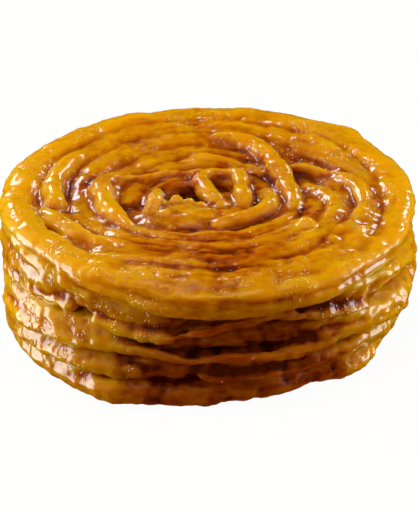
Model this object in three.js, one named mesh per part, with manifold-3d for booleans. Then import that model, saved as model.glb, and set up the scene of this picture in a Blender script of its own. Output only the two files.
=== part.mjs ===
// A stack of five jalebis that syrup has stuck together. Each jalebi is one strand of fried batter, piped as
// a flat spiral: it starts round a small hole and thins out to a tail that lies against its own rim.
// Millimetres, +Z up, origin at the centre of the underside.
import * as THREE from 'three';
import { mergeVertices } from 'three/addons/utils/BufferGeometryUtils.js';
import Module from 'manifold-3d';

const wasm = await Module();
wasm.setup();

const TAU = 2 * Math.PI;

// The strand
const TURN_PITCH = 6.3;
const TURN_GAP = 0.5;
const TAIL_WIDTH = 2.2;
const END_TAPER = [0.45, 0.85];
const STEP_CROWDING = 0.8;

// The stack: adjoining layers keep this much air between them
const LAYER_GAP = 0.4;

// Each layer's upper limit, outline and winding, from the plate upwards. shift and hole are the centres of
// outline and hole, tail is where the strand ends, in degrees round the back, and rim holds waves round the
// outline as [count round the rim, height, turn in degrees].
const LAYERS = [
  {
    name: 'jalebi_1_bottom', upTo: 6.8, radius: 44.2, shift: [-2.2, 2.2], hole: [-4.5, 0.5], holeRadius: 1.5,
    tail: 72, winds: 1, sides: 6, steps: 132, rim: [[2, 0.5, 20], [5, 0.6, 70], [9, 0.3, 10]],
  },
  {
    name: 'jalebi_2_lower', upTo: 13.4, radius: 45.2, shift: [-1.2, 1.2], hole: [-5, 0], holeRadius: 1.4,
    tail: 104, winds: -1, sides: 6, steps: 134, rim: [[3, 0.6, 100], [7, 0.4, 40]],
  },
  {
    name: 'jalebi_3_middle', upTo: 20.6, radius: 45.4, shift: [-0.6, 1.6], hole: [-5.5, 0.5], holeRadius: 1.5,
    tail: 84, winds: 1, sides: 6, steps: 134, rim: [[2, 0.6, 200], [6, 0.5, 0]],
  },
  {
    name: 'jalebi_4_upper', upTo: 28.4, radius: 46.6, shift: [0.5, 0], hole: [-6, 0], holeRadius: 1.4,
    tail: 118, winds: -1, sides: 6, steps: 138, rim: [[3, 0.5, -30], [5, 0.4, 30]],
  },
  {
    name: 'jalebi_5_top', upTo: 35, radius: 46.4, shift: [-0.4, 0], hole: [-7.2, -0.8], holeRadius: 1.4,
    tail: 96, winds: 1, sides: 8, steps: 152, rim: [[2, 0.3, 60], [4, 0.35, 40], [7, 0.25, 15]],
  },
];

// How far the limits between layers rise and fall, and how often round the stack
const LIMIT_WAVES = [
  { height: 0.7, count: 2, turn: 40 },
  { height: 0.5, count: 3, turn: 160 },
];

// Hollows in the top face: where the strand sank between its neighbours
const TOP_DIPS = [
  { at: [21, 20], reach: 6, depth: 2.6 },
  { at: [28, 3], reach: 4.5, depth: 1.4 },
  { at: [-19.5, -6.5], reach: 3.5, depth: 1.2 },
  { at: [2, -45], reach: 12, depth: 1.3 },
];

// Drops of batter that set on a strand: [layer, x, y, z, radius]
const DROPS = [
  ['jalebi_5_top', 21.5, -17, 32.7, 2.3],
  ['jalebi_5_top', -7.3, -4.9, 32.6, 2.2],
  ['jalebi_1_bottom', 35.2, -18.6, 3.2, 3.2],
  ['jalebi_1_bottom', -21, -34.2, 2.9, 2.9],
  ['jalebi_1_bottom', -3, -40.6, 2.9, 2.9],
];
const DROP_SIDES = 10;
const DROP_RINGS = 8;

const SYRUP_AMBER = '#c27a0c';
const SYRUP_BROWN = '#8f4a08';

// The share of the way from one value to another.
function mix(from, to, share) {
  return from + (to - from) * share;
}

// Height of the limit under layer number `index` at a place: level at the plate, waved between layers.
function limitHeight(index, x, y) {
  if (index === 0) return 0;
  const nominal = LAYERS[index - 1].upTo;
  if (index === LAYERS.length) {
    const sunk = (dip) => dip.depth * Math.exp(-((x - dip.at[0]) ** 2 + (y - dip.at[1]) ** 2) / dip.reach ** 2);
    return nominal - TOP_DIPS.reduce((sum, dip) => sum + sunk(dip), 0);
  }
  const angle = Math.atan2(y, x);
  const share = Math.min(1, Math.hypot(x, y) / LAYERS[index - 1].radius);
  const wave = ({ height, count, turn }) => height * Math.cos(count * angle + index * THREE.MathUtils.degToRad(turn));
  return nominal + share * share * LIMIT_WAVES.reduce((sum, one) => sum + wave(one), 0);
}

// The place at an edge radius and an angle, carried out of round towards the layer's own rim.
function placeOnLayer(layer, edge, angle) {
  const share = edge / layer.radius;
  const lobes = layer.rim.reduce(
    (sum, [count, height, turn]) => sum + height * Math.cos(count * (angle - THREE.MathUtils.degToRad(turn))), 0);
  const reach = edge + lobes * share * share;
  return [
    mix(layer.hole[0], layer.shift[0], share) + reach * Math.cos(angle),
    mix(layer.hole[1], layer.shift[1], share) + reach * Math.sin(angle),
  ];
}

// A section that fills the square from -1 to 1: flat above and below, with `sides` sides.
function strandSection(sides) {
  const half = Math.PI / sides;
  const first = sides % 4 === 0 ? half : 0;
  const corners = Array.from({ length: sides }, (_, i) => first + 2 * half * i);
  const widest = Math.max(...corners.map(Math.cos));
  const highest = Math.max(...corners.map(Math.sin));
  return new THREE.Shape(corners.map((a) => new THREE.Vector2(Math.cos(a) / widest, Math.sin(a) / highest)));
}

// How full the section is at a step, so that the strand's two ends are blunt and rounded.
function fullness(step, steps) {
  return END_TAPER[Math.min(step, steps - step)] ?? 1;
}

// One jalebi: the section is extruded along a straight line, and each corner is then carried onto the spiral.
function spiralStrand(layer, index) {
  const last = layer.radius - TAIL_WIDTH - layer.holeRadius;
  const turned = TAU * last / TURN_PITCH;
  const geometry = new THREE.ExtrudeGeometry(strandSection(layer.sides), {
    depth: 1,
    steps: layer.steps,
    bevelEnabled: false,
  });
  const corners = geometry.attributes.position;
  for (let i = 0; i < corners.count; i += 1) {
    const along = corners.getZ(i);
    const full = fullness(Math.round(along * layer.steps), layer.steps);
    const swept = turned * along ** STEP_CROWDING;
    const angle = THREE.MathUtils.degToRad(layer.tail) - layer.winds * (turned - swept);
    const inner = layer.holeRadius + TURN_PITCH * swept / TAU;
    const outer = Math.min(inner + TURN_PITCH - TURN_GAP, layer.radius);
    const across = -layer.winds * corners.getX(i) * full;
    const edge = mix(inner, outer, (1 + across) / 2);
    const [x, y] = placeOnLayer(layer, edge, angle);
    const bottom = limitHeight(index, x, y) + (index > 0 ? LAYER_GAP / 2 : 0);
    const top = limitHeight(index + 1, x, y) - (index + 1 < LAYERS.length ? LAYER_GAP / 2 : 0);
    const up = index > 0 ? corners.getY(i) * full : mix(-1, corners.getY(i), full);
    corners.setXYZ(i, x, y, mix(bottom, top, (1 + up) / 2));
  }
  return geometry;
}

// A geometry as a manifold-3d solid.
function solidFrom(geometry) {
  const bare = geometry.index ? geometry.toNonIndexed() : geometry.clone();
  bare.deleteAttribute('normal');
  bare.deleteAttribute('uv');
  const merged = mergeVertices(bare, 1e-4);
  return new wasm.Manifold(new wasm.Mesh({
    numProp: 3,
    vertProperties: merged.attributes.position.array,
    triVerts: new Uint32Array(merged.index.array),
  }));
}

// A manifold-3d solid as a geometry.
function geometryFrom(solid) {
  const mesh = solid.getMesh();
  const geometry = new THREE.BufferGeometry();
  geometry.setAttribute('position', new THREE.BufferAttribute(mesh.vertProperties, 3));
  geometry.setIndex(new THREE.BufferAttribute(mesh.triVerts, 1));
  geometry.computeVertexNormals();
  return geometry;
}

// The drops that set on one layer, joined to its strand.
function withDrops(layer, strand) {
  return DROPS.filter(([name]) => name === layer.name).reduce((whole, [, x, y, z, radius]) => {
    const drop = new THREE.SphereGeometry(radius, DROP_SIDES, DROP_RINGS);
    drop.rotateX(Math.PI / 2);
    drop.translate(x, y, z);
    return whole.add(solidFrom(drop));
  }, solidFrom(strand));
}

// One layer as a mesh; the upper ones hold more light than those below.
function jalebi(layer, index) {
  const shade = new THREE.Color(SYRUP_BROWN).lerp(new THREE.Color(SYRUP_AMBER), index / (LAYERS.length - 1));
  const mesh = new THREE.Mesh(
    geometryFrom(withDrops(layer, spiralStrand(layer, index))),
    new THREE.MeshStandardMaterial({ color: shade, roughness: 0.2, metalness: 0 }),
  );
  mesh.name = layer.name;
  return mesh;
}

const stack = new THREE.Group();
stack.add(...LAYERS.map(jalebi));

// The waves leave the outline a little to one side, so the stack is moved back over its origin.
const middle = new THREE.Box3().setFromObject(stack).getCenter(new THREE.Vector3());
stack.children.forEach((mesh) => mesh.position.set(-middle.x, -middle.y, 0));

export default stack;
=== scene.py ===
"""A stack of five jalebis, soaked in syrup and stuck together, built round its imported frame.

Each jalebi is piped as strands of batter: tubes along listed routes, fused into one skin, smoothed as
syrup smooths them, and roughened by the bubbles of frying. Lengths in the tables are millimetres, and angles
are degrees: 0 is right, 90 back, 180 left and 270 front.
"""
import math

import bpy
import numpy as np
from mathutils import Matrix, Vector


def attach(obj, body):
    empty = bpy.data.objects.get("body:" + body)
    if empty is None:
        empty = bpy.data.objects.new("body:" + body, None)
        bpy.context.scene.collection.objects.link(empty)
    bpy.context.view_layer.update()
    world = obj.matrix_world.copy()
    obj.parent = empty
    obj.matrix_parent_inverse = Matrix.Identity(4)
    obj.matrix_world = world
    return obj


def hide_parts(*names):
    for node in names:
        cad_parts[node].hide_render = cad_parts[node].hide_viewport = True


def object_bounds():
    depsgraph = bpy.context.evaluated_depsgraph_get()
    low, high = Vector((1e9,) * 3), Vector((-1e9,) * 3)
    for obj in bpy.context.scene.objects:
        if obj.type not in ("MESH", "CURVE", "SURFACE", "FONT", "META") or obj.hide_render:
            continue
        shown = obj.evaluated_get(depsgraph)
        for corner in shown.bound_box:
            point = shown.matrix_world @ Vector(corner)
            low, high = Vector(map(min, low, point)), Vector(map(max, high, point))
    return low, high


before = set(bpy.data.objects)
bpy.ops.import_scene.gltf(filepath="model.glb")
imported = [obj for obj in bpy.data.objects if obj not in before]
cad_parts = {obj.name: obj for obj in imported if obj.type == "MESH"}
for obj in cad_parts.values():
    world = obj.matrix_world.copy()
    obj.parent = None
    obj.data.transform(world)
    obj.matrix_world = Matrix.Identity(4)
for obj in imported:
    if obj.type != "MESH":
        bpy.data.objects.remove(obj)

bl_info = {
    "name": "Jalebi Stack",
    "version": (1, 0, 0),
    "blender": (4, 5, 0),
    "location": "View3D > Sidebar > Jalebi",
    "description": "Pipes, fries and glazes a stack of jalebis",
    "category": "Add Mesh",
}

MM = 0.001
TURN = 2 * math.pi
CAD_LOW, CAD_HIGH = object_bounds()
STACK_TOP = CAD_HIGH.z / MM


# ---------------------------------------------------------------- the top jalebi

# Its main strand, from the tail inwards. One row is one turn; the columns are the strand's middle radius at
# right, back right, back, back left, left, front left, front and front right.
COMPASS = 8
TOP_TURNS = (
    (None, None, None, None, None, 44.6, 45.2, 44.4),
    (43.2, 43.3, 42.9, 43.2, 43.5, 42.3, 40.7, 39.3),
    (36.2, 36.8, 37.0, 36.6, 34.9, 35.4, 34.3, 32.9),
    (29.8, 31.0, 31.4, 30.6, 28.9, 29.2, 28.3, 26.8),
    (24.2, 24.8, 25.4, 24.8, 23.8, 23.2, 22.2, 20.8),
    (18.8, 19.6, 19.4, 18.6, 18.0, 17.0, 15.6, 14.6),
    (12.7, 13.0, 13.4, 12.6, 12.9, 11.4, 10.4, 9.8),
)
# How far the strand's crest lies below the top of the stack, in the same order
TOP_SINKS = (
    (0, 0, 0, 0, 0, 3.4, 2.4, 1.6),
    (0.9, 0.4, 0.3, 0.4, 0.4, 0.6, 0.8, 0.7),
    (1.4, 1.2, 0.7, 0.8, 2.6, 0.8, 0.2, 0.4),
    (1.8, 3.4, 1.2, 1.2, 2.4, 1.2, 0.5, 0.8),
    (2.4, 4.2, 2.2, 2.0, 2.6, 2.0, 1.3, 1.4),
    (2.6, 2.6, 2.6, 2.8, 3.4, 3.0, 3.0, 2.6),
    (2.6, 2.4, 2.4, 2.8, 3.0, 3.0, 3.2, 2.6),
)
# Half the strand's width, in the same order
TOP_WIDTHS = (
    (0, 0, 0, 0, 0, 2.2, 2.9, 3.2),
    (3.8, 4.6, 5.4, 4.6, 3.6, 4.2, 5.4, 4.4),
    (3.4, 4.2, 5.6, 4.4, 3.0, 3.4, 5.8, 4.6),
    (3.0, 3.4, 4.0, 3.8, 2.9, 3.6, 5.6, 4.6),
    (2.8, 2.8, 3.4, 3.8, 3.2, 3.2, 4.4, 3.8),
    (3.2, 3.6, 3.3, 3.8, 3.8, 3.8, 3.8, 3.4),
    (3.0, 3.4, 3.2, 3.4, 2.8, 3.4, 3.6, 3.2),
)
# How flat the strand is pressed, and the rounder strand that fills the space under it
FLATNESS = 0.52
UNDER_DROP = 1.8
UNDER_HALF_WIDTH = 2.7

# Shorter lengths of strand laid over the main one: name, half width, crest below the top and a route of
# (x, y), with a third value where the strand dips further
TOP_CURLS = (
    ("leaf", 2.8, 0.1, (
        (-18, 13.6, 2.4), (-22.4, 9.6, 1), (-24.8, 4.6), (-24.2, -2), (-22, -8.4), (-19.4, -14.4, 0.3),
        (-18, -16.6, 1.6))),
    ("left_end", 2.6, 0.1, ((-26, 27, 1.8), (-31.2, 20, 0.4), (-34.6, 12), (-35.8, 4), (-35, -3.4))),
    ("front_left", 2.4, 0.0, (
        (-38.4, -6.6, 2), (-34.8, -12, 0.2), (-30.4, -18.2), (-25.4, -23.4), (-19, -27.2), (-12, -29.6, 0.5),
        (-4, -31, 1.6))),
    ("inner_left", 1.9, 1.6, (
        (-30.4, -8, 0.8), (-28, -14, 0.2), (-23.6, -19.2), (-17, -23, 0.4), (-9, -25, 1))),
    ("sweep", 2.5, 0.0, (
        (-5, 31.2, 2), (2.4, 31, 0.4), (8, 29.4), (12.2, 25.2), (14.8, 19.6), (16.6, 12.6), (18, 5.4, 0.6),
        (19.4, -1.4, 1.4), (18.8, -7.6, 1.6), (15.8, -13.2, 1.2), (9.6, -17.8, 1.5))),
    ("loop", 2.2, 0.3, (
        (7.9, -4.8, 1.2), (7.8, -0.6), (7.5, 4), (7.2, 8.6), (6.2, 12.2, 0.4), (3, 13.2, 0.9),
        (-0.6, 11.4, 0.5), (-1.8, 8), (-0.8, 3.4), (0.8, -1), (2.8, -5, 1))),
    ("inner_arc", 2.3, 0.2, ((13.2, 2.4, 0.8), (13.8, -2.8), (12, -7.8), (8, -11.4), (2.6, -13.8, 1))),
    ("pill", 1.7, -0.1, ((-11.9, 1.6, 0.8), (-12, -2.6), (-12.8, -7.4, 1.2))),
    ("hole_back", 2, 2.2, ((-13.6, 5.6, 1), (-8, 8.6, 0.2), (-1, 8.6, 0.4))),
    ("right_arc", 2.6, 0.4, (
        (23, 6.6, 2), (27.2, 0.6, 0.4), (28.8, -6.4), (27, -13.6), (22.4, -19.6, 1), (15.4, -23.4, 2.2))),
    ("far_right_arc", 2.6, 0.2, (
        (29.6, 13, 1.8), (33.8, 6, 0.3), (35.5, -2), (34.6, -10), (31, -18), (25, -24.4, 0.9))),
    ("back_right_lump", 2.6, 0.6, ((17, 33.4, 1.2), (25, 28.4), (31.4, 21, 0.6))),
    ("pocket_edge", 1.3, 1.4, ((17.4, 16, 1), (21.6, 16.4), (27.4, 13.2, 0.4))),
    ("back_lump", 2.2, 1.5, ((-5.4, 19.6, 0.8), (-1, 21.4), (4.6, 20.6, 0.6), (8, 17.4, 1.4))),
    ("inner_edge", 0.8, 1.9, ((-23, 9.4), (-15, 11.8), (-8, 13.8), (0.6, 14.2), (7, 12.6))),
    ("front_inner_edge", 0.8, 1.5, ((-17, -17.8), (-9, -19.6), (0, -19.8), (8, -19))),
    ("front_edge", 0.8, 0.2, ((-25, -31), (-17, -34), (-9, -34.4), (-4.4, -32.6), (-0.6, -31))),
    ("front_edge_right", 0.8, 0.3, ((-2.6, -37.2), (3, -37.2), (9, -36.4), (17.4, -34.6), (26, -29.6))),
    ("filler", 2.3, 2.8, ((-29, 26.4), (-34.6, 18), (-38.4, 7), (-38.8, -3), (-36.6, -12))),
)

# Thin lengths along its lower edge, through stops of (angle, outer radius, height, half width)
TOP_LIPS = (
    (
        (222, 46.4, 31.8, 1.2), (230, 46.6, 30.8, 1.4), (239, 46.7, 29.5, 1.4), (246, 46.9, 29.2, 1.2),
        (251, 47, 28.3, 1.3), (256, 47.1, 27.9, 1.1), (261, 47, 28.4, 1.2), (265, 46.9, 28.3, 1.0),
        (269, 46.6, 30, 1.0), (276, 46.7, 29.6, 1.0), (284, 46.6, 29.9, 1.1), (292, 46.8, 29.2, 1.0),
        (299, 46.7, 29.6, 1.2), (305, 46.8, 29.2, 1.1), (313, 46.7, 30.4, 1.3), (323, 46.9, 31, 1.4),
        (335, 47.1, 30.6, 1.5), (350, 47, 30.6, 1.8), (370, 46.8, 30.8, 2)),
    (
        (12, 47, 31, 2.2), (24, 47.2, 31.2, 2.4), (34, 48.4, 31.4, 2.6), (41, 49, 31.6, 2.6),
        (47, 50, 31.9, 2.4), (53, 48.6, 31.7, 2.6), (62, 48.6, 31.5, 2.8), (74, 48.8, 31.4, 2.8),
        (88, 47.9, 31.4, 2.8), (104, 47.2, 31.3, 2.8), (122, 46.6, 31, 2.6), (140, 46.6, 30.8, 2.6),
        (158, 48, 31, 2.7), (178, 48, 31.2, 2.7), (192, 47.8, 31.4, 2.5), (205, 47.2, 32, 2),
        (216, 46.6, 32.4, 1.4)),
)

# Beads and pools of batter: name, (x, y), half widths along x, y and z, top below the stack's top
TOP_BEADS = (
    ("crumb", (21.9, -17.4), (2.1, 1.9, 2.0), -1.3),
    ("bead", (-7.5, -3.2), (1.3, 1.2, 1.6), 0.5),
    ("pool", (-4.6, -9.2), (9.4, 6.0, 3.0), 1.0),
    ("pool_right", (5.4, -8.8), (6, 5.0, 2.8), 1.6),
    ("pool_bump_left", (-10.2, -4.4), (1.2, 1.1, 1.3), 1.0),
    ("pool_bump_middle", (-4.4, -3.8), (1.5, 1.3, 1.5), 1.0),
    ("pool_bump_right", (-1.6, -4.8), (1.5, 1.3, 1.4), 0.9),
    ("pool_bump_front", (-9.4, -9.6), (1.3, 1.2, 1.2), 0.6),
    ("gap_fill", (4, -0.6), (4.8, 6.0, 3.0), 1.9),
    ("end_knob", (27.6, -24.6), (2.6, 2.4, 2.4), 0.1),
    ("left_knob", (-35.2, -4.4), (2.5, 2.6, 2.6), 0.0),
)


# ---------------------------------------------------------------- the four jalebis below

# Each has a spiral inside, a body ring all round, and lengths of strand laid against that: ridges, torn lips
# and webs. Stops of the body are (angle, outer radius, middle height), and what is laid also gives half its
# width. half is half the body ring's width, level the spiral's height at the hole, and hole its centre.
LOWER = (
    dict(
        name="jalebi_upper", node="jalebi_4_upper", slot="syrup_batter", half=3.9, level=24.4,
        hole=(-6, 0),
        body=(
            (0, 47.2, 23.6), (25, 46.8, 24.2), (60, 46.2, 24.5), (90, 46, 24.5), (135, 46, 24.5),
            (165, 47.4, 24.6), (190, 47.9, 24.8), (210, 47.4, 25.4), (230, 45.4, 25.2), (246, 44.9, 24.2),
            (255, 44.6, 23.6), (262, 41.8, 24.2), (272, 41.3, 24.8), (286, 41.6, 25.4), (298, 42.8, 25.2),
            (308, 45, 24.8), (320, 46.4, 25), (340, 47, 24.2)),
        laid=(
            ((236, 45.6, 20.4, 1.2), (246, 45.7, 19.3, 1.6), (253, 46.1, 19.2, 1.5), (259, 46.1, 19.6, 1.3)),
            ((262, 45.9, 20.4, 0.9), (267, 45.9, 21.6, 0.9), (271, 45.8, 21.8, 1.0), (276, 45.8, 23.4, 0.9),
             (281, 45.6, 23.6, 0.9), (287, 45.6, 24.6, 1.0), (292, 45.6, 24, 1.1), (297, 45.7, 23.2, 1.0),
             (302, 45.8, 22.2, 1.3), (309, 46.1, 21.4, 1.3), (320, 46.6, 20, 1.4)),
            ((186, 48, 30, 2.4), (198, 47.9, 30.2, 2.5), (210, 47.5, 29.6, 2.6), (222, 46.5, 27.8, 2.2),
             (234, 46, 26.6, 1.7)),
            ((296, 45.6, 26.6, 1.3), (308, 46.6, 27.2, 1.5), (322, 47.4, 26.6, 1.7), (336, 47.9, 25, 1.9),
             (350, 47.9, 22.6, 2.2), (364, 47.6, 20.6, 2.2)),
            ((150, 46.6, 20.8, 2.4), (180, 47.4, 20.6, 2.8), (205, 47.2, 20.8, 2.8), (226, 46, 22, 2)))),
    dict(
        name="jalebi_middle", node="jalebi_3_middle", slot="syrup_batter", half=3.9, level=17,
        hole=(-5.5, 0.5),
        body=(
            (0, 47.8, 15.8), (25, 47, 16.6), (60, 46.2, 17), (90, 46, 17), (135, 46, 17), (165, 47.3, 17),
            (190, 47.6, 16.8), (210, 47.3, 16.6), (228, 46.2, 16.6), (240, 45, 16.8), (250, 43, 17.4),
            (260, 41.2, 17.8), (275, 41, 18), (288, 41.4, 18.2), (298, 42.6, 18), (308, 44.8, 17.6),
            (322, 46.8, 17), (340, 47.7, 16.4)),
        laid=(
            ((172, 47, 11.6, 2.4), (184, 47.5, 11.2, 2.8), (196, 47.8, 11.6, 3.1), (208, 47.7, 12.8, 3),
             (220, 47, 13.6, 2.7), (232, 46.1, 14.4, 2.2), (243, 45.4, 15, 1.7), (250, 45.3, 15.2, 1.4),
             (258, 45.2, 14.4, 1.2), (264, 45.1, 14, 1.0), (274, 44.9, 14.7, 1.0), (282, 44.8, 14.4, 1.2),
             (289, 44.9, 13.7, 1.5), (298, 45, 13.8, 1.7), (306, 45.2, 14.3, 1.6), (312, 45.4, 14.7, 1.4),
             (322, 45.8, 13.6, 1.3)),
            ((299, 44.2, 19.8, 1.2), (309, 45.8, 19.6, 1.3), (319, 46.8, 19, 1.4), (330, 47.4, 17.6, 1.6)),
            ((304, 45, 17, 1.2), (314, 46.2, 16.4, 1.4), (326, 47, 15.2, 1.6), (338, 47.2, 13.4, 1.8),
             (352, 46.8, 12, 2)),
            ((350, 47.9, 17.4, 2.6), (365, 47.7, 17, 2.8), (380, 47, 17, 2.6)))),
    dict(
        name="jalebi_lower", node="jalebi_2_lower", slot="syrup_batter_deep", half=3.6, level=10.2,
        hole=(-5, 0),
        body=(
            (0, 45.8, 9), (45, 45.4, 10), (90, 45.5, 10.2), (135, 46, 10.2), (170, 47, 9.6),
            (190, 47.2, 8.8), (205, 46.6, 8.6), (220, 45.8, 8.8), (235, 45.4, 9.2), (250, 43.2, 10),
            (265, 41, 10.4), (280, 40.6, 10.4), (295, 40.9, 10.2), (308, 42.8, 10.2), (320, 44, 9.8),
            (340, 45.2, 9.4)),
        laid=(
            ((186, 47.5, 5.8, 2), (198, 47.2, 6.2, 2.1), (211, 46.5, 7.2, 2.2), (225, 46, 8.4, 2.2),
             (236, 45.8, 9, 2.2), (248, 44.4, 9.4, 1.8)),
            ((296, 42.4, 9, 1.4), (306, 43.4, 9.8, 1.5), (318, 44.4, 10.4, 1.6), (332, 45.2, 9.6, 1.7)),
            ((268, 42, 8.4, 1.2), (284, 42, 7.8, 1.4), (300, 42, 8, 1.2)))),
    dict(
        name="jalebi_bottom", node="jalebi_1_bottom", slot="syrup_batter_deep", half=3.4, level=3.3,
        hole=(-4.5, 0.5),
        body=(
            (0, 43.5, 3.3), (45, 44, 3.3), (90, 45, 3.3), (135, 45.8, 3.3), (165, 46.8, 3.6),
            (188, 47.4, 4.2), (198, 46.8, 3.8), (210, 45.8, 3.4), (225, 45, 3.3), (236, 45.2, 3.3),
            (244, 44.8, 3.3), (252, 42.2, 3.3), (260, 40.8, 3.3), (270, 40.3, 3.3), (283, 39.8, 3.3),
            (296, 39.4, 3.3), (308, 39.2, 3.3), (318, 41.4, 3.3), (326, 43, 3.3), (340, 42, 3.3)),
        laid=(
            ((230, 44.8, 3.2, 3), (240, 46.2, 3.3, 3.3), (247, 44.6, 3, 2.8)),
            ((258, 42, 3, 2.9), (266, 42, 3, 2.9), (272, 41, 2.8, 2.6)),
            ((318, 43, 3.7, 3.4), (325, 43.8, 3.8, 3.6), (331, 43.2, 3.6, 3)),
            ((200, 46.4, 4.2, 2.4), (214, 45.6, 5, 2.2), (228, 45.2, 5.8, 2)))),
)
# The spiral inside, whose strand is a little wider than the distance from turn to turn, so that turns fuse
HOLE_RADIUS = 3.4
PITCH = 6.3
COIL_HALF = PITCH * 0.52
# Points of the spiral in one turn, and points of the body ring
COIL_STEPS = 16
RING_STEPS = 48


# ---------------------------------------------------------------- piping and frying

# How finely strands and beads are made before they fuse
STRAND_STEPS = 8
STRAND_ROUNDNESS = 4
BEAD_SEGMENTS = 24
BEAD_RINGS = 16

# Clouds that roughen the skin: name, size and octaves
LUMPS = ("batter_lumps", 7, 2)
DRAGS = ("batter_drags", 8, 1)
WRINKLES = ("batter_wrinkles", 3.4, 1)
BLISTERS = ("batter_blisters", 1.9, 1)
# How much closer drag lines and wrinkles lie in height than along the strand
DRAG_SQUEEZE = 0.22
# The share of the sides' wrinkles that the top jalebi has
TOP_WRINKLING = 0.3
# How far from z = 0 a point of the underside may be and still count as on it
UNDERSIDE_TOLERANCE = 0.001

# Passes of averaging that give a point's near and far surroundings, and how far a point stands out of them
# where the relief is full
NEAR_PASSES = 12
FAR_PASSES = 90
FINE_RELIEF = 0.12
WIDE_RELIEF = 0.9


# ---------------------------------------------------------------- colour

# Painted light and shade in spots, lighter where light falls or shines through and darker where shade falls:
# place, reach and amount
PAINTED_LIGHT_SPOTS = (
    # the left and right edges of the top
    ((-42, 8, 33), 16, 0.4), ((43, 14, 33), 14, 0.2),
    # the leaf, and the hollows on both sides of it
    ((-23, -3, 34), 6, 0.5), ((-28, 6, 34), 6, -0.7), ((-18.6, -3, 30.8), 2.4, -1.2),
    # the crumb
    ((21.9, -17.4, 36), 2.6, 2.4),
    # the inner turns and the centre hole
    ((0, 0, 32), 21, -0.12), ((-8, 4.8, 30.2), 3.4, -3.4), ((-3.6, 4.8, 30.2), 3.4, -3.4),
    ((-5.6, 2, 26), 5, -2),
    # the hollows beside the sweep
    ((21, 21, 30), 7, -0.2), ((13, 8, 34), 8, -0.25), ((20.8, -8.2, 30.6), 2.6, -1.8),
    # the pool, the front of the top and its lip
    ((-3, -12, 33), 10, 0.05), ((0, -32, 35), 16, -0.34), ((5, -46, 30), 13, 0.2),
    # the middle of the front wall
    ((-17, -42, 22), 9, 0.7), ((0, -44, 22), 17, -0.35), ((6, -43, 12), 20, -0.5), ((18, -42, 13), 6, 0.35),
    ((26, -38, 4), 14, -0.4),
    # its left and right
    ((-34, -31, 22), 15, 0.25), ((-42, -22, 14), 12, 0.15), ((30, -36, 16), 10, 0.2),
    ((39, -24, 16), 15, 0.3),
)
# Painted light and shade in broad bands: amount, then the values of radius, y and z between which the band
# fades in
PAINTED_LIGHT_BANDS = (
    # painted light on the rim of the top, where light shines through
    (0.38, (("radius", 36, 45), ("z", 24, 32))),
    # painted shade on the walls that stand back under the lips at the front
    (-0.88, (("radius", 46.8, 41.8), ("y", -24, -36), ("z", 29.6, 28.1))),
    # the sides, darker lower down
    (-0.15, (("z", 29, 24),)),
)

# Each colour's place on the scale from pit to crest
SHADES = (("pit", 0.0), ("groove", 0.25), ("body", 0.52), ("crest", 0.9))
# A point's place on that scale: the start plus each pattern, from 0 to 1, times its weight
SHADE_START = -1.03
# Wide and fine relief paint shade into hollows and light onto crests; the third pattern adds painted light
# and shade by place; the last adds painted glints; patches and streaks are the batter's own mottling
SHADE_WEIGHTS = dict(wide=0.45, fine=0.25, painted_light=1.1, patches=0.35, streaks=0.85, painted_glints=0.8)

# Patterns in the batter and the painted glints, as repeats to a metre
PATCH_SCALE = 170
STREAK_SCALE = 480
GLINT_SCALE = 820
GLINT_CLUSTER_SCALE = 240
SYRUP_SCALE = 520
BUBBLE_SCALE = 1000
BUBBLE_CLUSTER_SCALE = 110
# How much slower streaks and syrup change along the strand than across it
STREAK_SHARE = 0.2
# Where painted glints and bubbles fade in: by distance from their middle, by chance and by cluster
GLINT_EDGE = (0.38, 0.12)
GLINT_CHANCE = (0.2, 0.7)
GLINT_CLUSTERS = (0.47, 0.63)
BUBBLE_EDGE = (0.45, 0.0)
BUBBLE_CLUSTERS = (0.5, 0.64)

SYRUP_BUMP = {"Strength": 0.85, "Distance": 0.2 * MM}
BUBBLE_BUMP = {"Strength": 1.0, "Distance": 0.3 * MM}
BATTER_SHADER = {
    "Subsurface Weight": 1.0,
    "Subsurface Radius": (0.8, 0.32, 0.08),
    "Subsurface Scale": 7 * MM,
    "Roughness": 0.2,
    "Transmission Weight": 0.45,
    "Specular IOR Level": 0.0,
    "IOR": 1.45,
    "Coat Weight": 1.0,
    "Coat Roughness": 0.05,
    "Coat IOR": 1.6,
}
TABLE_SHADER = {
    "Base Color": (0.03, 0.03, 0.03, 1),
    "Specular IOR Level": 0.0,
    "Emission Strength": 1.0,
    "Roughness": 0.9,
}


# ---------------------------------------------------------------- stage

# Lights: name, azimuth, elevation, then distance, width and height in metres, watts, whether it is mirrored
STUDIO = (
    ("back_left_box", 119, 26, 0.6, 0.16, 0.16, 0.42, True),
    ("back_right_box", 58, 27, 0.6, 0.13, 0.14, 0.28, True),
    ("back_spot", 104, 50, 0.6, 0.05, 0.05, 0.06, True),
    ("left_wall_box", 172, -6, 0.5, 0.32, 0.46, 1.9, True),
    ("right_wall_box", 10, -6, 0.5, 0.18, 0.38, 0.8, True),
    ("top_fill", 260, 76, 0.6, 0.4, 0.4, 2.6, False),
    ("left_low_fill", 190, 4, 0.6, 0.4, 0.3, 0.9, False),
    ("right_low_fill", -10, 4, 0.6, 0.4, 0.3, 1.7, False),
    ("front_left_fill", 226, 24, 0.6, 0.4, 0.3, 0.8, False),
    ("left_fill", 160, 28, 0.6, 0.4, 0.4, 2.5, False),
    ("right_fill", 15, 22, 0.6, 0.4, 0.4, 2.2, False),
)
FILL_COLOUR = (1, 0.92, 0.75)
BOX_COLOUR = (0.94, 0.95, 1)
WORLD_COLOUR = (1, 0.2, 0.02, 1)
WORLD_STRENGTH = 0.18

TABLE_SIZE = 6
MOTTLE_SCALE = 3
MOTTLE_SHARE = 0.98

CAMERA_DISTANCE = 0.72
CAMERA_ELEVATION = 27
CAMERA_LENS = 219.2
CAMERA_SENSOR = 36
STACK_MIDDLE = Vector((0, 0, STACK_TOP * MM / 2))


# ---------------------------------------------------------------- sizes and colours that a user may change

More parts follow.
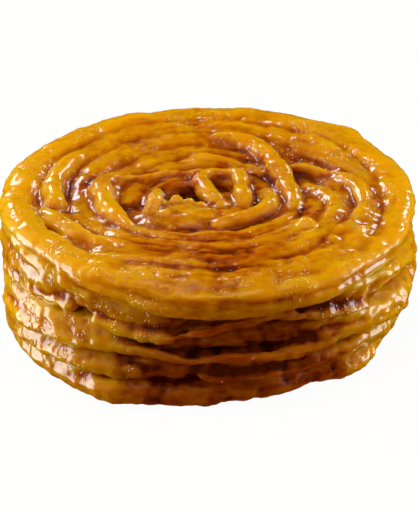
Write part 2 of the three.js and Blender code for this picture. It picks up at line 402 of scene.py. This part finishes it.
class JalebiSizes(bpy.types.PropertyGroup):
    """How the batter is piped and fried."""

    voxel: bpy.props.FloatProperty(
        name="Skin detail", description="Size of the cells that fuse the strands of the top jalebi",
        default=0.58 * MM, min=0.3 * MM, max=2 * MM, unit="LENGTH", precision=5)
    lower_voxel: bpy.props.FloatProperty(
        name="Lower skin detail", description="Size of the cells that fuse the strands below the top",
        default=0.66 * MM, min=0.3 * MM, max=2 * MM, unit="LENGTH", precision=5)
    melt: bpy.props.IntProperty(
        name="Melt", description="Passes of smoothing that round the strands into each other",
        default=5, min=0, max=40)
    lumps: bpy.props.FloatProperty(
        name="Lumps", description="Height of the slow lumps along the strands",
        default=0.9 * MM, min=0, max=3 * MM, unit="LENGTH", precision=5)
    drags: bpy.props.FloatProperty(
        name="Drag lines", description="Height of the level ridges that the syrup leaves as it sets",
        default=1.15 * MM, min=0, max=3 * MM, unit="LENGTH", precision=5)
    wrinkles: bpy.props.FloatProperty(
        name="Wrinkles", description="Height of the fine ridges on the sides",
        default=0.9 * MM, min=0, max=2 * MM, unit="LENGTH", precision=5)
    blisters: bpy.props.FloatProperty(
        name="Blisters", description="Height of the small frying blisters",
        default=0.28 * MM, min=0, max=1 * MM, unit="LENGTH", precision=5)


class JalebiColours(bpy.types.PropertyGroup):
    """Colours of the fried batter, from its crests to its pits, and of the table."""

    # The crest colour is also painted light on lit crests and rims, and the colour of the painted glints.
    crest: bpy.props.FloatVectorProperty(
        name="Crest", description="Thin, lit batter", subtype="COLOR", size=3, min=0, max=1,
        default=(0.87, 0.47, 0.002))
    body: bpy.props.FloatVectorProperty(
        name="Body", description="Batter between crest and groove", subtype="COLOR", size=3, min=0, max=1,
        default=(0.66, 0.285, 0.001))
    # The groove colour is also painted shade in the folds and under the lips.
    groove: bpy.props.FloatVectorProperty(
        name="Groove", description="Thick batter deep in the folds", subtype="COLOR", size=3, min=0, max=1,
        default=(0.43, 0.095, 0.001))
    # The pit colour is also painted shade in the centre hole and the deepest folds.
    pit: bpy.props.FloatVectorProperty(
        name="Pit", description="Batter in the centre hole and the deepest folds", subtype="COLOR", size=3,
        min=0, max=1, default=(0.12, 0.012, 0.001))
    floor: bpy.props.FloatVectorProperty(
        name="Floor", description="The table", subtype="COLOR", size=3, min=0, max=1,
        default=(0.97, 0.97, 0.97))


# ---------------------------------------------------------------- making strands

def deselect():
    """Leaves nothing selected, so that an operator acts only on what follows."""
    bpy.ops.object.select_all(action="DESELECT")


def select(parts):
    """Selects these objects alone, and makes the first one active."""
    deselect()
    for part in parts:
        part.select_set(True)
    bpy.context.view_layer.objects.active = parts[0]


def polar(radius, angle, height):
    """A point from its radius, angle in radians and height."""
    return radius * math.cos(angle), radius * math.sin(angle), height


def add_bead(name, place, halves):
    """A rounded drop of batter."""
    deselect()
    bpy.ops.mesh.primitive_uv_sphere_add(segments=BEAD_SEGMENTS, ring_count=BEAD_RINGS, radius=1,
                                         location=Vector(place) * MM, scale=[half * MM for half in halves])
    bead = bpy.context.object
    bead.name = name
    bpy.ops.object.transform_apply(location=True, rotation=True, scale=True)
    return bead


def add_strand(name, route, halves, closed=False):
    """A tube of batter along a smooth route of (x, y, z), with a half width for each point."""
    deselect()
    bpy.ops.curve.primitive_bezier_curve_add()
    strand = bpy.context.object
    strand.name = name
    curve = strand.data
    curve.splines.clear()
    spline = curve.splines.new("BEZIER")
    spline.bezier_points.add(len(route) - 1)
    for knot, place, half in zip(spline.bezier_points, route, halves):
        knot.co = Vector(place) * MM
        knot.radius = half
        knot.handle_left_type = knot.handle_right_type = "AUTO"
    spline.use_cyclic_u = closed
    spline.radius_interpolation = "CARDINAL"
    curve.dimensions = "3D"
    curve.resolution_u = STRAND_STEPS
    curve.bevel_depth = MM
    curve.bevel_resolution = STRAND_ROUNDNESS
    curve.use_fill_caps = True
    parts = [strand]
    if not closed:
        for place, half in ((route[0], halves[0]), (route[-1], halves[-1])):
            parts.append(add_bead(name + "_end", place, (half, half, half)))
    return parts


def wall_strand(name, stops):
    """A strand laid against the side, through stops of (angle, outer radius, height, half width)."""
    route = [polar(radius - half, math.radians(angle), height) for angle, radius, height, half in stops]
    return add_strand(name, route, [half for *_, half in stops])


def flatten(parts, level):
    """Presses strands flat towards a level, so that a round strand becomes a ribbon."""
    select(parts)
    bpy.ops.object.convert(target="MESH")
    bpy.ops.object.mode_set(mode="EDIT")
    bpy.ops.mesh.select_all(action="SELECT")
    bpy.ops.transform.resize(value=(1, 1, FLATNESS), center_override=(0, 0, level))
    bpy.ops.object.mode_set(mode="OBJECT")


# ---------------------------------------------------------------- fusing, frying and finishing

def add_modifier(piece, kind, **settings):
    """Adds a modifier, sets it and applies it."""
    modifier = piece.modifiers.new(kind.lower(), kind)
    for key, value in settings.items():
        setattr(modifier, key, value)
    bpy.context.view_layer.objects.active = piece
    bpy.ops.object.modifier_apply(modifier=modifier.name)


def fuse(name, parts, voxel, melt):
    """Joins the strands and beads, gives them one skin and lets it melt a little."""
    select(parts)
    bpy.ops.object.convert(target="MESH")
    bpy.ops.object.join()
    piece = bpy.context.object
    piece.name = name
    piece.data.name = name
    add_modifier(piece, "REMESH", mode="VOXEL", voxel_size=voxel)
    add_modifier(piece, "SMOOTH", factor=0.5, iterations=melt)
    return piece


def roughen(piece, pattern, height, squeeze=1):
    """Raises and lowers the skin by clouds, which may be squeezed in height so that they lie level."""
    name, size, octaves = pattern
    clouds = bpy.data.textures.get(name) or bpy.data.textures.new(name, "CLOUDS")
    clouds.noise_scale = size * MM
    clouds.noise_depth = octaves
    deselect()
    bpy.ops.object.empty_add(scale=(1, 1, squeeze))
    guide = bpy.context.object
    add_modifier(piece, "DISPLACE", texture=clouds, strength=height, mid_level=0.5,
                 texture_coords="OBJECT", texture_coords_object=guide)
    bpy.data.objects.remove(guide)


def fry(piece, sizes, wrinkling):
    """Slow lumps, ridges along the strands, then small blisters."""
    roughen(piece, LUMPS, sizes.lumps)
    roughen(piece, DRAGS, sizes.drags, DRAG_SQUEEZE)
    roughen(piece, WRINKLES, sizes.wrinkles * wrinkling, DRAG_SQUEEZE)
    roughen(piece, BLISTERS, sizes.blisters)


def level_underside(piece):
    """Cuts the lowest jalebi flat where it rests."""
    select([piece])
    bpy.ops.object.mode_set(mode="EDIT")
    bpy.ops.mesh.select_all(action="SELECT")
    bpy.ops.mesh.bisect(plane_co=(0, 0, 0), plane_no=(0, 0, 1), use_fill=True, clear_inner=True,
                        threshold=UNDERSIDE_TOLERANCE * MM)
    bpy.ops.object.mode_set(mode="OBJECT")


def mesh_points(mesh):
    """The mesh's vertices, normals and edges as arrays."""
    count = len(mesh.vertices)
    points = np.empty(count * 3, np.float32)
    mesh.vertices.foreach_get("co", points)
    normals = np.empty(count * 3, np.float32)
    mesh.vertices.foreach_get("normal", normals)
    edges = np.empty(len(mesh.edges) * 2, np.int32)
    mesh.edges.foreach_get("vertices", edges)
    return points.reshape(-1, 3).astype(float), normals.reshape(-1, 3).astype(float), edges.reshape(-1, 2)


def spread(values, edges, passes):
    """Averages values with their neighbours along the edges, pass after pass."""
    count = len(values)
    a, b = edges[:, 0], edges[:, 1]
    degree = np.bincount(a, minlength=count) + np.bincount(b, minlength=count)
    for _ in range(passes):
        total = np.empty_like(values)
        for column in range(values.shape[1]):
            total[:, column] = (np.bincount(a, values[b, column], count)
                                + np.bincount(b, values[a, column], count))
        values = 0.5 * values + 0.5 * total / np.maximum(degree, 1)[:, None]
    return values


def painted_light_at(points):
    """Painted light and shade at each point: how much lighter or darker the colour is made there."""
    x, y, z = (points / MM).T
    painted_light = np.zeros(len(points))
    for (at_x, at_y, at_z), reach, amount in PAINTED_LIGHT_SPOTS:
        painted_light += amount * np.exp(-((x - at_x) ** 2 + (y - at_y) ** 2 + (z - at_z) ** 2) / reach ** 2)
    measures = {"radius": np.hypot(x, y), "y": y, "z": z}
    for amount, fades in PAINTED_LIGHT_BANDS:
        for measure, start, end in fades:
            amount = amount * np.clip((measures[measure] - start) / (end - start), 0, 1)
        painted_light += amount
    return painted_light


def mark_relief(piece):
    """Stores how far each point stands above its surroundings, and the painted light and shade there."""
    points, normals, edges = mesh_points(piece.data)
    near = spread(points, edges, NEAR_PASSES)
    far = spread(near, edges, FAR_PASSES)
    rise_near = np.einsum("ij,ij->i", points - near, normals) / (FINE_RELIEF * MM)
    rise_far = np.einsum("ij,ij->i", points - far, normals) / (WIDE_RELIEF * MM)
    marks = (("relief_fine", rise_near), ("relief_wide", rise_far), ("painted_light", painted_light_at(points)))
    for name, values in marks:
        layer = piece.data.attributes.new(name, "FLOAT", "POINT")
        layer.data.foreach_set("value", np.clip(0.5 + 0.5 * values, 0, 1).astype(np.float32))


def finish_piece(piece, node):
    """Shades a piece smooth, gives it its material and puts it in the frame in its node's place."""
    select([piece])
    bpy.ops.object.shade_smooth()
    mark_relief(piece)
    piece.data.materials.clear()
    piece.data.materials.append(batter_material())
    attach(piece, "root")
    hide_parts(node)


# ---------------------------------------------------------------- materials

def add_node(tree, kind, sockets, **settings):
    """A shader node whose inputs are set to values or joined to other nodes' outputs."""
    node = tree.nodes.new(kind)
    for key, value in settings.items():
        setattr(node, key, value)
    for socket, value in sockets.items():
        if isinstance(value, bpy.types.NodeSocket):
            tree.links.new(value, node.inputs[socket])
        else:
            node.inputs[socket].default_value = value
    return node


def stored(tree, name):
    """What mark_relief stored at each point under this name."""
    return add_node(tree, "ShaderNodeAttribute", {}, attribute_name=name).outputs["Fac"]


def noise(tree, place, scale, detail=2):
    """Cloudy noise, from 0 to 1."""
    sockets = {"Vector": place, "Scale": scale, "Detail": detail}
    return add_node(tree, "ShaderNodeTexNoise", sockets).outputs["Fac"]


def fade(tree, value, start, end, interpolation="LINEAR"):
    """From 0 where a value is at the start to 1 where it is at the end."""
    sockets = {"Value": value, "From Min": start, "From Max": end}
    return add_node(tree, "ShaderNodeMapRange", sockets, interpolation_type=interpolation).outputs["Result"]


def product(tree, first, *others):
    """Values multiplied with each other."""
    for other in others:
        first = add_node(tree, "ShaderNodeMath", {0: first, 1: other}, operation="MULTIPLY").outputs[0]
    return first


def weighted_sum(tree, terms, start):
    """The start value plus each output times its weight."""
    total = start
    for output, weight in terms:
        total = add_node(tree, "ShaderNodeMath", {0: output, 1: weight, 2: total},
                         operation="MULTIPLY_ADD").outputs[0]
    return total


def along_strands(tree, place):
    """Coordinates that change fast from strand to strand and slowly along each of them."""
    level = add_node(tree, "ShaderNodeVectorMath", {0: place, 1: (1, 1, 0)}, operation="MULTIPLY")
    radius = add_node(tree, "ShaderNodeVectorMath", {0: level.outputs["Vector"]}, operation="LENGTH")
    axes = add_node(tree, "ShaderNodeSeparateXYZ", {"Vector": place}).outputs
    return add_node(tree, "ShaderNodeCombineXYZ", {
        "X": radius.outputs["Value"],
        "Y": product(tree, axes["X"], STREAK_SHARE),
        "Z": weighted_sum(tree, ((axes["Y"], STREAK_SHARE),), axes["Z"]),
    }).outputs["Vector"]


def painted_glints(tree, place, painted_light):
    """Painted glints: small pale dots in clusters, which fade where the painted shade is deep."""
    glint_cells = add_node(tree, "ShaderNodeTexVoronoi", {"Vector": place, "Scale": GLINT_SCALE})
    dots = fade(tree, glint_cells.outputs["Distance"], *GLINT_EDGE, "SMOOTHSTEP")
    few = fade(tree, glint_cells.outputs["Color"], *GLINT_CHANCE)
    clusters = fade(tree, noise(tree, place, GLINT_CLUSTER_SCALE), *GLINT_CLUSTERS)
    return product(tree, dots, few, clusters, painted_light)


def bubbles(tree, place):
    """Small domes in clusters."""
    cells = add_node(tree, "ShaderNodeTexVoronoi", {"Vector": place, "Scale": BUBBLE_SCALE, "Randomness": 1})
    domes = fade(tree, cells.outputs["Distance"], *BUBBLE_EDGE, "SMOOTHSTEP")
    return product(tree, domes, fade(tree, noise(tree, place, BUBBLE_CLUSTER_SCALE), *BUBBLE_CLUSTERS))


def batter_material():
    """Fried batter full of syrup: light travels through it, and a clear wet coat lies over it."""
    name = "fried_batter"
    if name in bpy.data.materials:
        return bpy.data.materials[name]
    material = bpy.data.materials.new(name)
    material.use_nodes = True
    tree = material.node_tree
    tree.nodes.clear()
    place = add_node(tree, "ShaderNodeTexCoord", {}).outputs["Object"]
    along = along_strands(tree, place)

    # Painted light and shade: the stored relief darkens hollows and lightens crests, the stored light and
    # shade by place adds more, and the glints are painted highlights
    painted_light = stored(tree, "painted_light")
    patterns = dict(
        wide=stored(tree, "relief_wide"),
        fine=stored(tree, "relief_fine"),
        painted_light=painted_light,
        patches=noise(tree, place, PATCH_SCALE, detail=4),
        streaks=noise(tree, along, STREAK_SCALE, detail=3),
        painted_glints=painted_glints(tree, place, painted_light),
    )
    terms = [(patterns[key], weight) for key, weight in SHADE_WEIGHTS.items()]
    ramp = add_node(tree, "ShaderNodeValToRGB", {"Fac": weighted_sum(tree, terms, SHADE_START)})
    stops = ramp.color_ramp.elements
    for shade, position in SHADES:
        stop = stops.new(position) if position else stops[0]
        stop.color = (*getattr(bpy.context.scene.jalebi_colours, shade), 1)
    stops.remove(stops[-1])

    syrup = noise(tree, along, SYRUP_SCALE, detail=3)
    wet = add_node(tree, "ShaderNodeBump", {**SYRUP_BUMP, "Height": syrup}).outputs["Normal"]
    domes = {"Height": bubbles(tree, place), "Normal": wet}
    bubbled = add_node(tree, "ShaderNodeBump", {**BUBBLE_BUMP, **domes}).outputs["Normal"]
    skin = add_node(tree, "ShaderNodeBsdfPrincipled", {
        **BATTER_SHADER,
        "Base Color": ramp.outputs["Color"],
        "Normal": bubbled,
        "Coat Normal": bubbled,
    })
    add_node(tree, "ShaderNodeOutputMaterial", {"Surface": skin.outputs["BSDF"]})
    return material


def table_material():
    """A pale matt table, faintly mottled."""
    floor = bpy.context.scene.jalebi_colours.floor
    material = bpy.data.materials.new("pale_table")
    material.use_nodes = True
    tree = material.node_tree
    tree.nodes.clear()
    place = add_node(tree, "ShaderNodeTexCoord", {}).outputs["Object"]
    ramp = add_node(tree, "ShaderNodeValToRGB", {"Fac": noise(tree, place, MOTTLE_SCALE)})
    ramp.color_ramp.elements[0].color = (*[MOTTLE_SHARE * channel for channel in floor], 1)
    ramp.color_ramp.elements[1].color = (*floor, 1)
    sockets = {**TABLE_SHADER, "Emission Color": ramp.outputs["Color"]}
    skin = add_node(tree, "ShaderNodeBsdfPrincipled", sockets)
    add_node(tree, "ShaderNodeOutputMaterial", {"Surface": skin.outputs["BSDF"]})
    return material


# ---------------------------------------------------------------- the pieces

def top_parts():
    """The top jalebi's strands, lips and beads."""
    route, under_route, halves, under_halves = [], [], [], []
    for radii, sinks, widths in zip(TOP_TURNS, TOP_SINKS, TOP_WIDTHS):
        for column, (radius, sink, half) in enumerate(zip(radii, sinks, widths)):
            if radius is not None:
                angle = TURN * column / COMPASS
                route.append(polar(radius, angle, STACK_TOP - sink / FLATNESS - half))
                halves.append(half)
                under_half = min(half, UNDER_HALF_WIDTH)
                under_route.append(polar(radius, angle, STACK_TOP - UNDER_DROP - sink - under_half))
                under_halves.append(under_half)
    ribbon = add_strand("main_strand", route, halves)
    flatten(ribbon, STACK_TOP * MM)
    parts = ribbon + add_strand("under_strand", under_route, under_halves)
    for name, half, sink, line in TOP_CURLS:
        crest = STACK_TOP - sink - half
        parts += add_strand(name, [(x, y, crest - sum(dip)) for x, y, *dip in line], [half] * len(line))
    for number, stops in enumerate(TOP_LIPS):
        parts += wall_strand(f"lip_{number}", stops)
    for name, (x, y), size, sink in TOP_BEADS:
        parts.append(add_bead(name, (x, y, STACK_TOP - sink - size[2]), size))
    return parts


def stop_values(stops, angle):
    """The values round a ring at an angle, eased between its stops."""
    angle %= 360
    around = [(stops[-1][0] - 360, *stops[-1][1:]), *stops, (stops[0][0] + 360, *stops[0][1:])]
    for low, high in zip(around, around[1:]):
        if low[0] <= angle <= high[0]:
            share = (angle - low[0]) / (high[0] - low[0])
            share = share * share * (3 - 2 * share)
            return [a + (b - a) * share for a, b in zip(low[1:], high[1:])]
    raise ValueError(f"no stop at {angle}")


def coil_route(row):
    """The route of the spiral that fills a lower jalebi's outline, from its hole outwards."""
    rims = [radius for _, radius, _ in row["body"]]
    outer = sum(rims) / len(rims) - row["half"]
    turns = (outer - COIL_HALF - HOLE_RADIUS) / PITCH
    steps = int(turns * COIL_STEPS)
    route = []
    for step in range(steps + 1):
        angle = TURN * turns * step / steps
        radius = HOLE_RADIUS + COIL_HALF + PITCH * angle / TURN
        share = radius / (outer + COIL_HALF)
        rim, height = stop_values(row["body"], math.degrees(angle))
        reach = radius * (1 + share * ((rim - row["half"]) / outer - 1))
        x, y, z = polar(reach, angle, row["level"] + (height - row["level"]) * share)
        route.append((x + row["hole"][0] * (1 - share), y + row["hole"][1] * (1 - share), z))
    return route


def ring_route(row):
    """The route of a lower jalebi's body ring."""
    route = []
    for step in range(RING_STEPS):
        angle = 360 * step / RING_STEPS
        radius, height = stop_values(row["body"], angle)
        route.append(polar(radius - row["half"], math.radians(angle), height))
    return route


def lower_parts(row):
    """The spiral of a jalebi below the top, its body ring and what is laid against that."""
    coil = coil_route(row)
    parts = add_strand("spiral", coil, [COIL_HALF] * len(coil))
    parts += add_strand("ring", ring_route(row), [row["half"]] * RING_STEPS, closed=True)
    for number, stops in enumerate(row["laid"]):
        parts += wall_strand(f"laid_{number}", stops)
    return parts


class JALEBI_OT_top(bpy.types.Operator):
    """Pipe the top jalebi, whose strands, curls and centre hole all show"""

    bl_idname = "jalebi.top"
    bl_label = "Top jalebi"

    def execute(self, context):
        sizes = context.scene.jalebi_sizes
        piece = fuse("jalebi_top", top_parts(), sizes.voxel, sizes.melt)
        fry(piece, sizes, TOP_WRINKLING)
        finish_piece(piece, "jalebi_5_top")
        return {"FINISHED"}


class JALEBI_OT_lower(bpy.types.Operator):
    """Pipe the four jalebis below the top, whose rims show at the side"""

    bl_idname = "jalebi.lower"
    bl_label = "Lower jalebis"

    def execute(self, context):
        sizes = context.scene.jalebi_sizes
        for row in LOWER:
            piece = fuse(row["name"], lower_parts(row), sizes.lower_voxel, sizes.melt)
            fry(piece, sizes, 1)
            if row is LOWER[-1]:
                level_underside(piece)
            finish_piece(piece, row["node"])
        return {"FINISHED"}


def add_softbox(name, azimuth, elevation, distance, width, height, power, mirrored):
    """A studio light that points at the stack."""
    around, up = math.radians(azimuth), math.radians(elevation)
    away = Vector((math.cos(around) * math.cos(up), math.sin(around) * math.cos(up), math.sin(up)))
    bpy.ops.object.light_add(type="AREA", location=STACK_MIDDLE + away * distance)
    light = bpy.context.object
    light.name = name
    light.rotation_euler = away.to_track_quat("Z", "Y").to_euler()
    light.data.shape = "RECTANGLE"
    light.data.size = width
    light.data.size_y = height
    light.data.energy = power
    light.data.color = BOX_COLOUR if mirrored else FILL_COLOUR
    light.visible_camera = False
    light.visible_glossy = mirrored


def lay_table():
    """A table that the camera sees, and that lends the stack neither light nor shadow."""
    deselect()
    bpy.ops.mesh.primitive_plane_add(size=TABLE_SIZE, location=(0, 0, 0))
    table = bpy.context.object
    table.name = "table"
    table.data.materials.append(table_material())
    table.visible_diffuse = False
    table.visible_glossy = False
    table.visible_transmission = False
    table.visible_shadow = False


def aim_camera(scene):
    """Looks at the middle of the stack from the front and above."""
    up = math.radians(CAMERA_ELEVATION)
    away = Vector((0, -math.cos(up), math.sin(up)))
    bpy.ops.object.camera_add(location=STACK_MIDDLE + away * CAMERA_DISTANCE)
    camera = bpy.context.object
    camera.name = "front_camera"
    camera.rotation_euler = away.to_track_quat("Z", "Y").to_euler()
    camera.data.lens = CAMERA_LENS
    camera.data.sensor_width = CAMERA_SENSOR
    scene.camera = camera


class JALEBI_OT_stage(bpy.types.Operator):
    """Set the table, the studio lights and the camera"""

    bl_idname = "jalebi.stage"
    bl_label = "Table, lights and camera"

    def execute(self, context):
        scene = context.scene
        lay_table()
        scene.world = bpy.data.worlds.new("studio")
        scene.world.use_nodes = True
        background = scene.world.node_tree.nodes["Background"]
        background.inputs["Color"].default_value = WORLD_COLOUR
        background.inputs["Strength"].default_value = WORLD_STRENGTH
        for settings in STUDIO:
            add_softbox(*settings)
        aim_camera(scene)
        scene.view_settings.view_transform = "Standard"
        return {"FINISHED"}


class JALEBI_PT_panel(bpy.types.Panel):
    """The jalebi tools"""

    bl_idname = "JALEBI_PT_panel"
    bl_label = "Jalebi Stack"
    bl_space_type = "VIEW_3D"
    bl_region_type = "UI"
    bl_category = "Jalebi"

    def draw(self, context):
        for group in (context.scene.jalebi_sizes, context.scene.jalebi_colours):
            for key in group.bl_rna.properties.keys():
                if key not in {"rna_type", "name"}:
                    self.layout.prop(group, key)
        for operator in OPERATORS:
            self.layout.operator(operator.bl_idname)


OPERATORS = (JALEBI_OT_top, JALEBI_OT_lower, JALEBI_OT_stage)
CLASSES = (JalebiSizes, JalebiColours, *OPERATORS, JALEBI_PT_panel)


def register():
    for item in CLASSES:
        bpy.utils.register_class(item)
    bpy.types.Scene.jalebi_sizes = bpy.props.PointerProperty(type=JalebiSizes)
    bpy.types.Scene.jalebi_colours = bpy.props.PointerProperty(type=JalebiColours)


def unregister():
    del bpy.types.Scene.jalebi_colours
    del bpy.types.Scene.jalebi_sizes
    for item in reversed(CLASSES):
        bpy.utils.unregister_class(item)


def main():
    """Makes every piece."""
    register()
    bpy.ops.jalebi.top()
    bpy.ops.jalebi.lower()
    bpy.ops.jalebi.stage()


if __name__ == "__main__":
    main()
